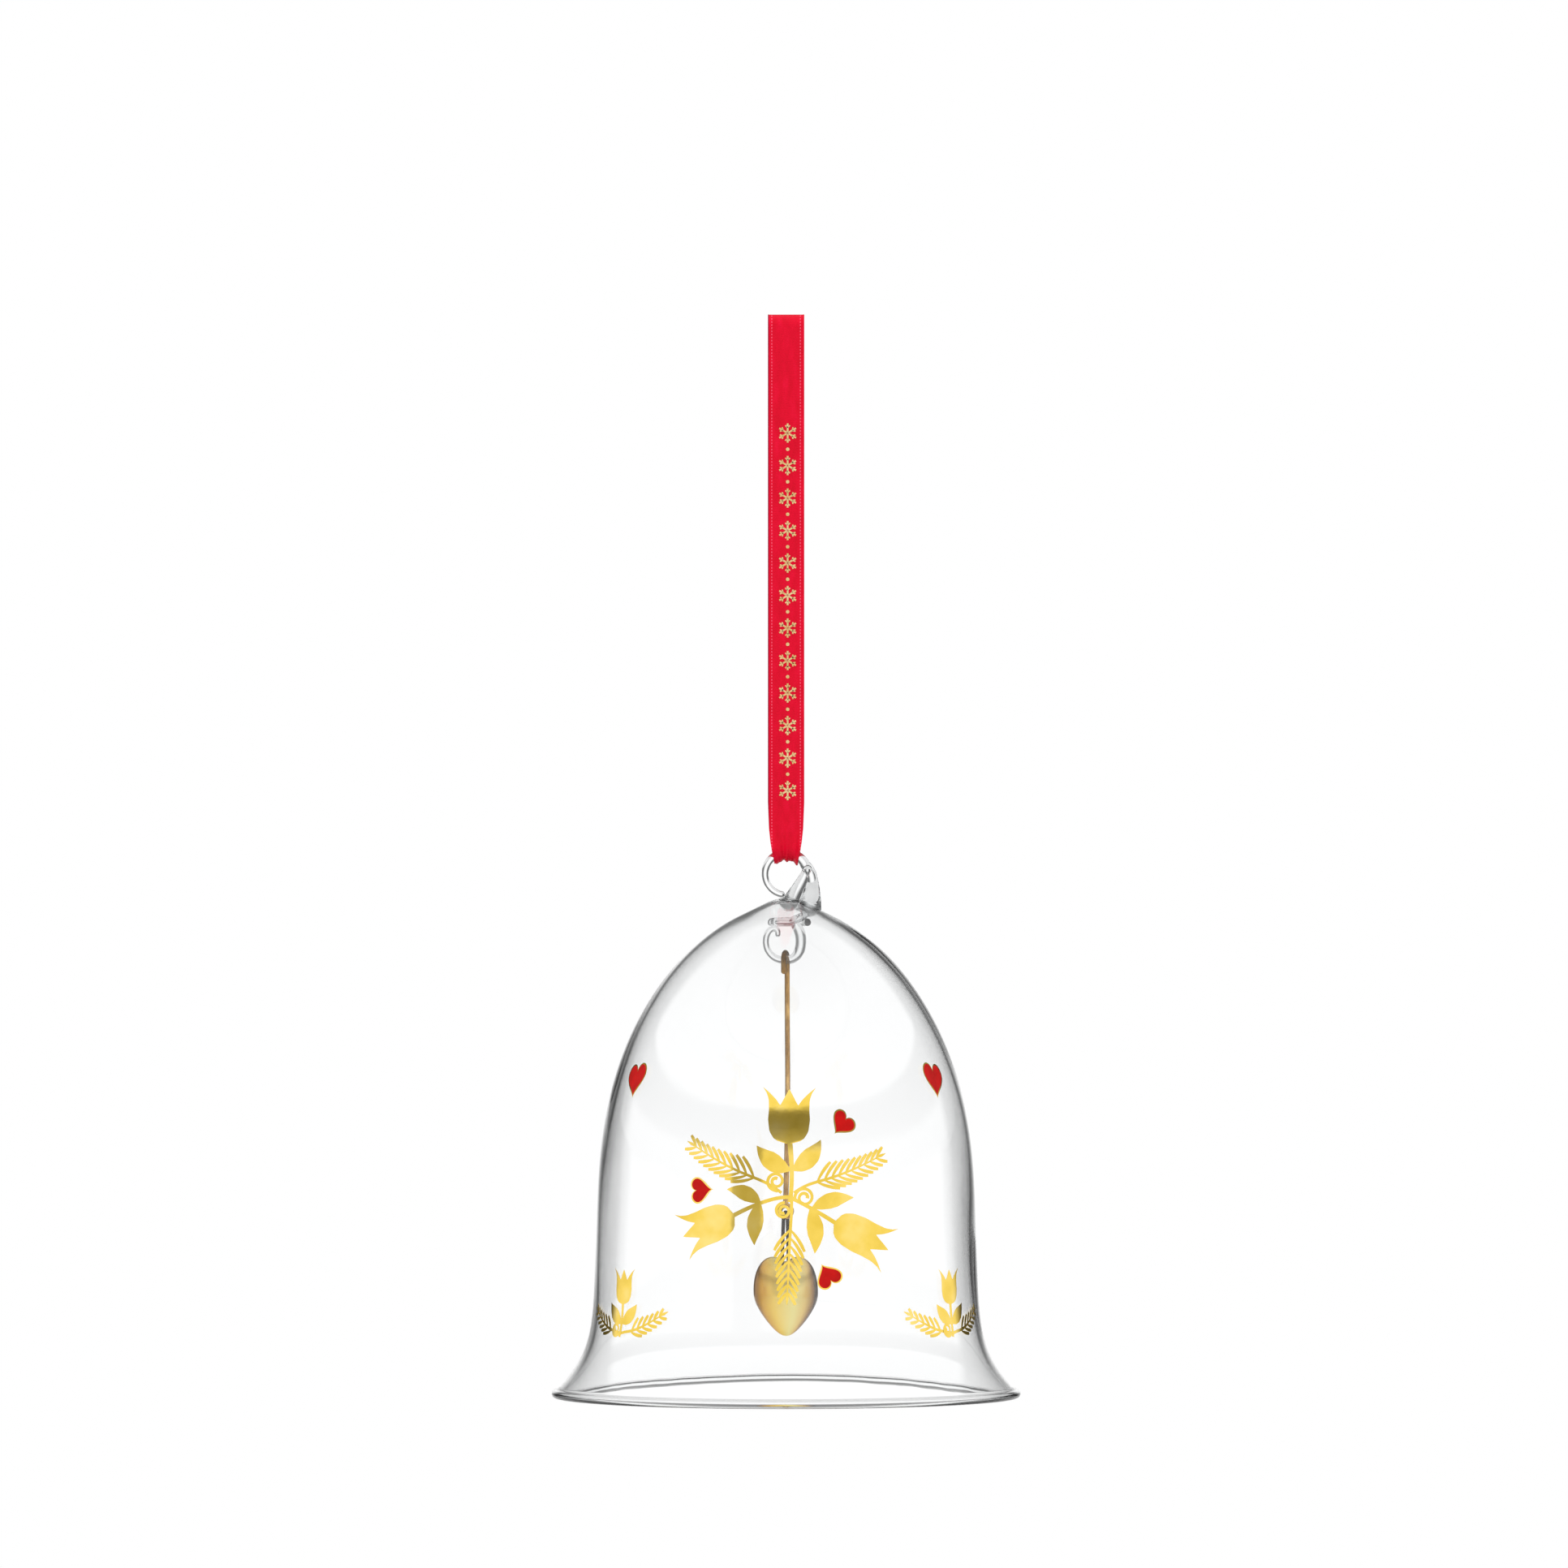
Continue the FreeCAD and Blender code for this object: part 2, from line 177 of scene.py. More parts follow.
class Graph:
    """A short way to write a node tree."""

    def __init__(self, tree):
        self.tree = tree

    def add(self, kind, **settings):
        made = self.tree.nodes.new(kind)
        for name, value in settings.items():
            if name in made.inputs:
                made.inputs[name].default_value = value
            else:
                setattr(made, name, value)
        return made

    def link(self, source, target):
        self.tree.links.new(source, target)

    def feed(self, socket, value):
        """Gives a socket another socket's value, or a fixed one; a colour's number is a grey."""
        if isinstance(value, bpy.types.NodeSocket):
            self.link(value, socket)
        elif isinstance(value, (int, float)) and socket.type == "RGBA":
            socket.default_value = (value, value, value, 1)
        else:
            socket.default_value = value

    def split(self, vector):
        parts = self.add("ShaderNodeSeparateXYZ")
        self.link(vector, parts.inputs["Vector"])
        return parts.outputs

    def ramp(self, source, stops):
        """A colour for each position between 0 and 1."""
        ramp = self.add("ShaderNodeValToRGB")
        elements = ramp.color_ramp.elements
        while len(elements) < len(stops):
            elements.new(0.5)
        for element, (position, colour) in zip(elements, stops):
            element.position = position
            element.color = (*colour, 1.0)
        self.link(source, ramp.inputs["Fac"])
        return ramp.outputs["Color"]

    def math(self, operation, *values):
        """One arithmetic node; each value is a number or a socket."""
        made = self.add("ShaderNodeMath", operation=operation)
        for socket, value in zip(made.inputs, values):
            self.feed(socket, value)
        return made.outputs["Value"]

    def product(self, first, *others):
        for other in others:
            first = self.math("MULTIPLY", first, other)
        return first

    def mix(self, share, first, second):
        """The first colour, with the second one in the given share; a number is a grey."""
        made = self.add("ShaderNodeMix", data_type="RGBA")
        self.feed(made.inputs["Factor"], share)
        self.feed(made.inputs[6], first)
        self.feed(made.inputs[7], second)
        return made.outputs[2]


class Nodes(Graph):
    """A material's node tree."""

    def __init__(self, name):
        self.material = bpy.data.materials.new(name)
        self.material.use_nodes = True
        super().__init__(self.material.node_tree)
        self.shader = self.tree.nodes["Principled BSDF"]
        self.output = self.tree.nodes["Material Output"]

    def set(self, **values):
        """The shader's inputs, by name, each from a socket or as it is."""
        for name, value in values.items():
            self.feed(self.shader.inputs[name.replace("_", " ")], value)

    def place(self, scale=(1, 1, 1)):
        """Object coordinates, stretched."""
        coordinates = self.add("ShaderNodeTexCoord")
        mapping = self.add("ShaderNodeMapping", Scale=scale)
        self.link(coordinates.outputs["Object"], mapping.inputs["Vector"])
        return mapping.outputs["Vector"]

    def facing(self):
        """How far the surface turns to the object's own right: -1 to 1."""
        return self.split(self.add("ShaderNodeTexCoord").outputs["Normal"])["X"]

    def noise(self, scale, size, detail=3.0):
        texture = self.add("ShaderNodeTexNoise", Scale=size, Detail=detail)
        self.link(self.place(scale), texture.inputs["Vector"])
        return texture.outputs["Fac"]

    def clamp(self, value, most):
        """The value, kept between 0 and most."""
        return self.math("MINIMUM", self.math("MAXIMUM", value, 0.0), most)

    def bump(self, source, strength, distance):
        bump = self.add("ShaderNodeBump", Strength=strength, Distance=distance)
        self.link(source, bump.inputs["Height"])
        self.link(bump.outputs["Normal"], self.shader.inputs["Normal"])

    def span(self, source, low, high):
        """Maps 0..1 to low..high."""
        change = self.add("ShaderNodeMapRange")
        change.inputs["To Min"].default_value = low
        change.inputs["To Max"].default_value = high
        self.link(source, change.inputs["Value"])
        return change.outputs["Result"]


def clear_glass():
    """Blown soda glass: faint grey in its thickness, so that edge-on walls draw dark."""
    nodes = Nodes("clear_glass")
    nodes.set(Base_Color=(1, 1, 1, 1), Roughness=0.0, IOR=1.5, Transmission_Weight=1.0)
    absorb = nodes.add("ShaderNodeVolumeAbsorption", Color=(0.60, 0.64, 0.65, 1), Density=75.0)
    nodes.link(absorb.outputs["Volume"], nodes.output.inputs["Volume"])
    nodes.bump(nodes.noise((1, 1, 0.35), 55.0, 2.0), 0.12, 0.0004)
    return nodes.material


def mirror_gold():
    """A fired-on film of bright gold, with the soft waviness of the glass under it."""
    nodes = Nodes("mirror_gold")
    tone = nodes.ramp(nodes.noise((1, 1, 1), 160.0), [
        (0.30, (0.80, 0.55, 0.070)),
        (0.50, (0.90, 0.64, 0.11)),
        (0.72, (0.96, 0.73, 0.22)),
    ])
    shine = nodes.span(nodes.noise((1, 1, 1), 900.0), 0.03, 0.10)
    nodes.set(Metallic=1.0, Base_Color=tone, Roughness=shine)
    nodes.bump(nodes.noise((1, 1, 1), 200.0), 0.10, 0.0002)
    return nodes.material


def red_enamel():
    """Fired red paint, almost even, with a soft shine."""
    nodes = Nodes("red_enamel")
    tone = nodes.ramp(nodes.noise((1, 1, 1), 420.0), [
        (0.35, (0.46, 0.001, 0.0)),
        (0.65, (0.58, 0.002, 0.001)),
    ])
    nodes.set(Base_Color=tone, Roughness=0.34, Specular_IOR_Level=0.16)
    nodes.bump(nodes.noise((1, 1, 1), 1500.0), 0.15, 0.0002)
    return nodes.material


def brass(name, dark, light, rough, painted_shade_above=None, metal=1.0):
    """Drawn wire: fine lines along it, patchy, with painted shade on its left side and, if a
    height is given, painted shade above it.
    """
    nodes = Nodes(name)
    tone = nodes.ramp(nodes.noise((1, 1, 0.4), 700.0, 4.0), [(0.35, dark), (0.68, light)])
    # Painted shade: the wire goes near-black above the given height, where the hook hangs in shade
    # under the crown.
    if painted_shade_above is not None:
        above = nodes.math("SUBTRACT", nodes.split(nodes.place())["Z"], painted_shade_above)
        share = nodes.clamp(nodes.math("MULTIPLY", above, 280.0), 0.85)
        tone = nodes.mix(share, tone, (0.07, 0.032, 0.006, 1))
    # Painted shade: darker on the side that turns to the object's left.
    shade = nodes.clamp(nodes.math("MULTIPLY_ADD", nodes.facing(), -0.9, -0.1), 0.7)
    tone = nodes.mix(shade, tone, (*[0.35 * part for part in dark], 1))
    shine = nodes.span(nodes.noise((1, 1, 1), 1200.0), rough - 0.08, rough + 0.12)
    nodes.set(Metallic=metal, Specular_IOR_Level=0.3, Base_Color=tone, Roughness=shine)
    nodes.bump(nodes.noise((9, 9, 0.25), 1600.0), 0.3, 0.0001)
    return nodes.material


def gold_lustre():
    """A mirror of pale gold fired over blown glass, with a painted highlight and painted shade set
    by which way the surface faces.
    """
    nodes = Nodes("gold_lustre_glass")
    # Painted light by which way the surface faces: orange on the left, a pale painted highlight on
    # the front, and painted shade, brown to near-black, round the right.
    patchy = nodes.math("MULTIPLY", nodes.noise((1, 1, 0.6), 110.0, 2.0), 0.16)
    where = nodes.math("ADD", nodes.math("MULTIPLY_ADD", nodes.facing(), 0.60, 0.41), patchy)
    tone = nodes.ramp(where, [
        (0.02, (0.38, 0.17, 0.01)), (0.14, (0.76, 0.40, 0.02)), (0.34, (1.0, 0.69, 0.11)),
        (0.60, (1.0, 0.88, 0.34)), (0.76, (0.92, 0.66, 0.22)), (0.88, (0.42, 0.24, 0.09)),
        (0.97, (0.08, 0.045, 0.02)),
    ])
    shine = nodes.span(nodes.noise((1, 1, 1), 500.0), 0.20, 0.30)
    nodes.set(Metallic=0.6, Coat_Weight=0.4, Coat_Roughness=0.04)
    nodes.set(Base_Color=tone, Roughness=shine)
    nodes.bump(nodes.noise((1, 1, 1), 140.0), 0.10, 0.0004)
    return nodes.material


def red_satin():
    """Satin ribbon: floats along its length, fine rows across, a beaded selvedge."""
    nodes = Nodes("red_satin")
    tone = nodes.ramp(nodes.noise((1.0, 1.0, 0.3), 900.0, 4.0), [
        (0.25, (0.62, 0.0, 0.016)),
        (0.55, (0.71, 0.0, 0.022)),
        (0.80, (0.78, 0.002, 0.034)),
    ])
    across, _, up = nodes.split(nodes.place())
    # Woven edges: a line of lighter stitches 0.75 mm in, and painted shade along the left edge,
    # where it turns from the light.
    stitch = nodes.math("COMPARE", nodes.math("ABSOLUTE", across), 0.00275, 0.00010)
    beads = nodes.math("SINE", nodes.math("MULTIPLY", up, 10500.0))
    beads = nodes.math("GREATER_THAN", beads, -0.1)
    tone = nodes.mix(nodes.product(stitch, beads, 0.6), tone, (0.95, 0.13, 0.22, 1))
    tone = nodes.mix(nodes.math("LESS_THAN", across, -0.00328), tone, (0.34, 0.0, 0.03, 1))
    nodes.set(Base_Color=tone, Roughness=0.46, Specular_IOR_Level=0.12)
    nodes.set(Sheen_Weight=0.08, Sheen_Roughness=0.4, Sheen_Tint=(1.0, 0.35, 0.4, 1))
    rows = nodes.add("ShaderNodeTexWave", Scale=700.0, Distortion=0.6, bands_direction="Z")
    nodes.link(nodes.place(), rows.inputs["Vector"])
    nodes.bump(rows.outputs["Fac"], 0.25, 0.00005)
    return nodes.material


# ---------------------------------------------------------------- the glass

# Control points of the outline, radius and height, from the rim's lip to the top of the crown.
OUTER = [
    (44.4, 1.3), (41.4, 4.4), (38.0, 9.5), (37.0, 19.0), (36.6, 34.0), (36.0, 51.3),
    (31.3, 68.5), (22.8, 82.6), (13.5, 90.7), (7.6, 93.5), (4.4, 95.0), (2.0, 96.1), (0.0, 96.2),
]
# How far the inner wall stands in from each of them, across and down.
INWARD = [
    (0.70, 0.66), (0.88, 0.60), (1.05, 0.25), (1.0, 0.0), (1.0, 0.0), (1.0, 0.2),
    (0.9, 0.6), (0.7, 0.8), (0.5, 0.9), (0.5, 0.9), (0.4, 0.9), (0.2, 1.0), (0.0, 1.1),
]
BEAD_RADIUS, BEAD_CENTRE = 0.8, (44.4, 0.8)
BEAD_GAP = 0.05
LOOP_HEIGHT, LOOP_RADIUS = 100.8, 4.05
outer_line = spline(OUTER, 220)
inner_line = spline([(r - a, z - b) for (r, z), (a, b) in zip(OUTER, INWARD)], 220)


def waver(angle, height):
    """The slight unevenness of a hand-blown wall, in millimetres."""
    slow = np.sin(2 * angle + 0.05 * height + 0.7) + 0.6 * np.sin(3 * angle - 0.08 * height)
    return 0.05 * slow * np.clip(height / 20, 0, 1) * np.clip((92 - height) / 20, 0, 1)


def wall_radius(angle, height):
    """The outer surface's radius at an angle round from the front, and a height."""
    order = np.argsort(outer_line[:, 1])
    radius = np.interp(height, outer_line[order, 1], outer_line[order, 0])
    return radius + waver(angle, height)


def round_surface(angle, radius, height):
    """A point at an angle round from the front, which faces -Y."""
    return np.stack([radius * np.sin(angle), -radius * np.cos(angle), height], axis=-1)


def glass_bell(material):
    """The shell, its rolled bead and its solid crown, as one turned wall."""
    sweep = np.radians(np.linspace(105, -165, 26))
    bead = np.stack([
        BEAD_CENTRE[0] + BEAD_RADIUS * np.cos(sweep),
        BEAD_CENTRE[1] + BEAD_RADIUS * np.sin(sweep),
    ], axis=1)
    outside = outer_line[outer_line[:, 1] > bead[0, 1] + BEAD_GAP]
    inside = inner_line[np.hypot(*(inner_line - BEAD_CENTRE).T) > BEAD_RADIUS + BEAD_GAP]
    line = np.concatenate([outside[::-1], bead, inside])[1:-1]
    sides = 288
    angle = np.linspace(0, 2 * math.pi, sides, endpoint=False)
    rows = []
    for index, (radius, height) in enumerate(line):
        uneven = waver(angle, height)
        if index >= len(outside):  # the bead and the inner wall waver on their own as well
            uneven = uneven + 0.06 * np.sin(5 * angle + 0.11 * height) * np.clip(height / 25, 0, 1)
        uneven = uneven * np.clip(radius / 15, 0, 1)
        rows.append(round_surface(angle, radius + uneven, np.full(sides, height)))
    verts = np.concatenate(rows + [[(0, 0, OUTER[-1][1])], [(0, 0, inner_line[-1, 1])]])
    faces = turned_faces(len(rows), sides)
    bell = piece("glass_bell", to_frame(verts), faces, material, "bell")
    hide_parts("bell_shell", "crown_button")


def smooth_path(points, count):
    """A path and its radii from rows of across, away, up and radius."""
    line = spline(points, count)
    return line[:, :3], line[:, 3]


def hanging_loop(material):
    """The drawn glass curl: a thick root at the right, the arch, and a thin free end."""
    degrees = np.linspace(25, 257, 60)
    turn = np.radians(degrees)
    across, up = LOOP_RADIUS * np.cos(turn), LOOP_HEIGHT + LOOP_RADIUS * np.sin(turn)
    taper = np.interp(degrees, [25, 90, 150, 200, 257], [0.98, 0.86, 0.72, 0.64, 0.66])
    curl = np.stack([across, 0 * turn, up, taper], axis=1)
    root, thick = smooth_path([
        (4.4, 0.1, 94.6, 2.5), (4.9, 0.1, 96.4, 1.9), (5.2, 0, 98.6, 1.15), (4.9, 0, 100.8, 1.05),
        (4.2, 0, 102.0, 1.1), tuple(curl[0]),
    ], 30)
    path = np.concatenate([root[:-1], curl[:, :3]])
    radii = np.concatenate([thick[:-1], curl[:, 3]])
    loop = rod("glass_loop", path, radii, material, "bell")
    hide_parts("hanging_loop")
    arm, width = smooth_path([
        (0.6, -0.3, 94.8, 1.9), (1.6, -0.4, 96.8, 1.4), (2.6, -0.5, 98.6, 1.15),
        (3.5, -0.4, 100.2, 1.0), (4.0, -0.1, 101.6, 0.8),
    ], 30)
    rod("glass_loop_arm", arm, width, material, "bell")


def crown_coil(material):
    """A flat turn and a bit of glass rod fused under the crown."""
    turn = np.linspace(0, 2.5 * math.pi, 130)
    share = turn / turn[-1]
    radius = 3.55 - 0.5 * share
    rising = np.clip(share - 0.62, 0, 1) / 0.38
    lift = 91.2 + 0.25 * share + 2.9 * rising
    path = np.stack([0.5 + radius * np.cos(turn), radius * np.sin(turn), lift], axis=1)
    coil = rod("glass_coil", path, 0.68, material, "bell")
    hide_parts("crown_coil")


def clapper_ring(material):
    """The smaller curl inside, thick where it leaves the crown and thin at its hooked end."""
    path, radii = smooth_path([
        (1.4, 0, 91.2, 0.8), (2.4, 0, 90.3, 0.95), (3.1, 0, 88.2, 1.05), (2.7, 0, 85.4, 1.0),
        (1.4, 0, 84.2, 0.84), (0, 0, 84.1, 0.74), (-1.8, 0, 84.2, 0.68), (-3.5, 0, 85.6, 0.64),
        (-4.1, 0, 88.0, 0.62), (-3.1, 0, 90.4, 0.6), (-1.4, 0, 90.2, 0.6), (-1.5, 0, 89.0, 0.5),
    ], 110)
    ring = rod("glass_clapper_ring", path, radii, material, "bell")
    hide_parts("clapper_ring")


# ---------------------------------------------------------------- the clapper

PIVOT = 84.15
WIRE, BAIL_WIRE = 0.5, 0.35
EYE_HEIGHT, EYE_RADIUS = 35.9, 1.1
BAIL_PLAY = 0.08
# Above this height the clapper's hook is painted dark as shade.
PAINTED_SHADE_HEIGHT = 81.2


def turned(points, degrees):
    """Points turned about the vertical axis."""
    turn = math.radians(degrees)
    across = points[:, 0] * math.cos(turn) - points[:, 1] * math.sin(turn)
    away = points[:, 0] * math.sin(turn) + points[:, 1] * math.cos(turn)
    return np.stack([across, away, points[:, 2]], axis=1)


def clapper_wire(material):
    """A hook over the glass ring, the straight rod, and the eye at its foot."""
    hook, tail = 1.4, 2.2
    bow = np.radians(np.linspace(180, 0, 28))
    over = np.stack([0 * bow, hook * np.cos(bow), PIVOT + hook * np.sin(bow)], axis=1)
    down = np.stack([np.zeros(6), np.full(6, -hook), np.linspace(PIVOT - tail, PIVOT, 6)], axis=1)
    eye_top = EYE_HEIGHT + EYE_RADIUS
    fall = np.linspace(PIVOT, eye_top, 40)[1:]
    slope = (fall - eye_top) / (PIVOT - eye_top)
    long = np.stack([0 * fall, hook * slope, fall], axis=1)
    path = turned(np.concatenate([down[:-1], over, long]), -15)
    wire = rod("clapper_rod", path, WIRE, material, "clapper", 24)
    turn = np.linspace(0, 2 * math.pi, 40, endpoint=False)
    up = EYE_HEIGHT + EYE_RADIUS * np.cos(turn)
    ring = np.stack([EYE_RADIUS * np.sin(turn), 0 * turn, up], axis=1)
    rod("clapper_eye", ring, WIRE, material, "clapper", 24, closed=True)
    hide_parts("clapper_wire")


def heart_bail(material):
    """Thin wire from the heart's cleft, over the eye and back down, painted near-black as shade.
    """
    bend, foot, foot_height = 1.1, 2.0, 24.0
    centre = EYE_HEIGHT - EYE_RADIUS + WIRE + BAIL_WIRE + BAIL_PLAY - bend
    bow = np.radians(np.linspace(174, 6, 30))
    over = np.stack([0 * bow, bend * np.cos(bow), centre + bend * np.sin(bow)], axis=1)
    leg = np.linspace(0, 1, 16)[:-1]
    left = over[0] + (np.array([0, -foot, foot_height]) - over[0]) * (1 - leg)[:, None]
    right = over[-1] + (np.array([0, foot, foot_height]) - over[-1]) * leg[1:, None]
    path = turned(np.concatenate([left, over, right]), -20)
    bail = rod("heart_loop", path, BAIL_WIRE, material, "heart", 20)
    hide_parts("heart_bail")


def clapper_heart(material):
    """A plump heart: a ball pointed below, parted above by a shallow cleft."""
    rings, sides = 90, 120
    height, half_width, half_depth, middle = 15.6, 6.28, 4.0, 19.4
    polar = np.linspace(0, math.pi, rings + 2)[1:-1]
    angle = np.linspace(0, 2 * math.pi, sides, endpoint=False)

    def surface(theta, phi):
        up = np.cos(theta)
        share = np.sin(theta) * (1 - 0.36 * np.clip(-up, 0, 1) ** 1.3) * (1 + 0.08 * up)
        across, away = share * np.cos(phi), share * np.sin(phi)
        lobes = 0.26 * (np.sqrt(across ** 2 + 0.02) - 0.14) * np.clip(up + 0.15, 0, 1)
        sunk = 0.10 * np.exp(-(across / 0.22) ** 2) * np.clip(up, 0, 1)
        return np.stack([across, away, up * 0.95 + lobes - sunk], axis=-1)

    rows = [surface(theta, angle) for theta in polar]
    poles = [surface(np.array([theta]), np.array([0.0])) for theta in (0.0, math.pi)]
    verts = np.concatenate(rows + poles)
    verts -= (verts.max(0) + verts.min(0)) / 2
    verts *= np.array([half_width, half_depth, height / 2]) / verts.max(0)
    verts[:, 2] += middle
    faces = turned_faces(rings, sides)
    heart = piece("glass_heart", to_frame(verts), faces, material, "heart")
    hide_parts("clapper_heart")


# ---------------------------------------------------------------- the ribbon

TAPE_THICK, TAPE_WIDE = 0.26, 7
# Heights in the frame: where the pleats begin and how far up they fade in, and the same for the
# cup that the tape makes round the glass arch.
PLEATS_FROM, PLEATS_OVER = -94.0, 9.0
CUP_FROM, CUP_OVER = -99.0, 4.0

# The tape's route, away and up in the frame: from its loose end on the back strand, over the
# top fold, down the front, under the glass arch and up to the lap again.
ROUTE = [
    (2.56, -82.0), (2.50, -77.0), (2.26, -68.0), (2.42, -40.0), (2.72, -14.0), (2.72, -5.0),
    (2.74, -0.24), (-2.74, -0.24), (-2.72, -5.0), (-2.66, -14.0), (-2.50, -40.0),
    (-2.24, -68.0), (-2.02, -92.0), (-1.98, -100.2), (-1.98, -104.95), (1.98, -104.95),
    (1.98, -100.2), (2.00, -92.0), (2.14, -76.0), (2.18, -70.0),
]


def ribbon_line():
    """Points along the route, read from its spline: away and up, in millimetres."""
    curve = bpy.data.curves.new("ribbon_route", "CURVE")
    curve.dimensions = "3D"
    curve.resolution_u = 48
    route = curve.splines.new("NURBS")
    route.points.add(len(ROUTE) - 1)
    for point, (away, up) in zip(route.points, ROUTE):
        point.co = (0.0, away * MM, up * MM, 1.0)
    route.order_u = 3
    route.use_endpoint_u = True
    holder = bpy.data.objects.new("ribbon_route", curve)
    mesh = bpy.data.meshes.new_from_object(holder)
    line = np.array([(v.co.y, v.co.z) for v in mesh.vertices]) / MM
    bpy.data.objects.remove(holder)
    bpy.data.curves.remove(curve)
    bpy.data.meshes.remove(mesh)
    run = along(line)
    even = np.linspace(0, run[-1], 1000)
    return np.stack([np.interp(even, run, line[:, k]) for k in (0, 1)], axis=1)


def half_width(up):
    """The tape is 7 mm wide, and drawn in where it passes through the glass."""
    heights = [-105.2, -104.4, -103.2, -101.8, -99, -94]
    return np.interp(up, heights, [2.2, 2.35, 2.75, 3.0, 3.3, TAPE_WIDE / 2])


def grip_from(up, start, over):
    """0 above the start, rising to 1 further down."""
    return np.clip((start - up) / over, 0, 1) ** 1.5


def pleats(share, up, run):
    """How far the tape stands off its line: soft pleats near the glass, a faint curl above."""
    grip = grip_from(up, PLEATS_FROM, PLEATS_OVER)
    ridge = 0.16 * np.sin(share * 8.5 + 0.6) + 0.10 * np.sin(share * 15 + 1.0) + 0.24
    curl = 0.05 * np.sin(run / 9.0) * share
    return grip * ridge + (1 - grip) * curl


def ribbon_surface(line, share, offset):
    """The tape's face: rows of points along the line, offset from its middle."""
    ahead = np.gradient(line, axis=0)
    ahead /= np.linalg.norm(ahead, axis=1)[:, None]
    run, up = along(line)[:, None], line[:, 1][:, None]
    across = share[None, :] * half_width(up)
    arch = LOOP_RADIUS - np.sqrt(LOOP_RADIUS ** 2 - across ** 2)
    cup = 1.15 * arch * grip_from(up, CUP_FROM, CUP_OVER)
    height = pleats(share[None, :], up, run) + offset + cup
    away = line[:, 0][:, None] + ahead[:, 1][:, None] * height
    rise = up - ahead[:, 0][:, None] * height
    return np.stack([across, away, rise], axis=-1)


def ribbon(material):
    """One strip of satin ribbon, drawn into soft pleats where it passes through the glass.

    Gives back its route, which the foil on it follows.
    """
    line = ribbon_line()
    share = np.linspace(-1, 1, 61)
    selvedge = 0.02 * np.clip((np.abs(share) - 0.90) / 0.04, 0, 1)[None, :]
    under = ribbon_surface(line, share, -TAPE_THICK / 2 - selvedge).reshape(-1, 3)
    upper = ribbon_surface(line, share, TAPE_THICK / 2 + selvedge).reshape(-1, 3)
    verts = np.concatenate([under, upper]) * MM
    count, columns, half = len(line), len(share), len(under)
    faces = grid_faces(count, columns)
    faces += [tuple(half + v for v in face)[::-1] for face in faces]
    rim = [r * columns for r in range(count)]
    rim += [(count - 1) * columns + c for c in range(1, columns)]
    rim += [r * columns + columns - 1 for r in range(count - 2, -1, -1)]
    rim += [c for c in range(columns - 2, 0, -1)]
    faces += [(a, b, b + half, a + half) for a, b in zip(rim, rim[1:] + rim[:1])]
    tape = piece("satin_ribbon", verts, faces, material, "ribbon")
    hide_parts("ribbon_fold", "ribbon_front", "ribbon_back", "ribbon_lap",
                "ribbon_gather_front", "ribbon_gather_back", "ribbon_bend")
    return line


SNOWFLAKES, FIRST_SNOWFLAKE, SNOWFLAKE_STEP, DOT_DROP = 12, -23.0, 6.25, 3.12
FOIL_BACK, FOIL_FACE = 0.155, 0.185


def bearing(degrees):
    """A direction, clockwise from straight up."""
    turn = math.radians(degrees)
    return np.array([math.sin(turn), math.cos(turn)])


def foil_motifs(material, line):
    """A row of pressed-on foil snowflakes and dots down the front of the tape."""
    front = line[np.argmax(line[:, 1]):np.argmin(line[:, 1])]
    front = front[front[:, 1] < -6]
    verts, faces = [], []

    def stroke(start, end, half):
        ahead = (end - start) / np.linalg.norm(end - start)
        side = np.array([-ahead[1], ahead[0]]) * half
        lay([start - side, start + side, end + side, end - side])

    def lay(corners):
        base = len(verts)
        for lift in (FOIL_BACK, FOIL_FACE):
            for across, up in corners:
                away = np.interp(-up, -front[:, 1], front[:, 0])
                verts.append((across, away - lift, up))
        size = len(corners)
        faces.append(tuple(base + k for k in range(size)))
        faces.append(tuple(base + size + k for k in range(size))[::-1])
        for k in range(size):
            following = (k + 1) % size
            faces.append((base + k, base + following, base + size + following, base + size + k))

    for index in range(SNOWFLAKES):
        middle = np.array([0.3, FIRST_SNOWFLAKE - SNOWFLAKE_STEP * index])
        for degrees in range(0, 360, 60):
            way = bearing(degrees)
            stroke(middle + 0.1 * way, middle + 1.85 * way, 0.17)
            for lean in (-48, 48):
                fork = middle + 1.05 * way
                stroke(fork, fork + 0.62 * bearing(degrees + lean), 0.13)
        if index < SNOWFLAKES - 1:
            dot = middle + np.array([0, -DOT_DROP])
            lay([dot + 0.34 * bearing(degrees) for degrees in np.arange(0, 360, 22.5)])
    piece("foil_snowflakes", np.array(verts) * MM, faces, material, "ribbon",
          smooth=False)


# ---------------------------------------------------------------- painting on the glass

FILM, FIRST_LIFT, LIFT_STEP = 0.03, 0.02, 0.002
FRONT_RADIUS = 36.6
HEART_SIDES = 60


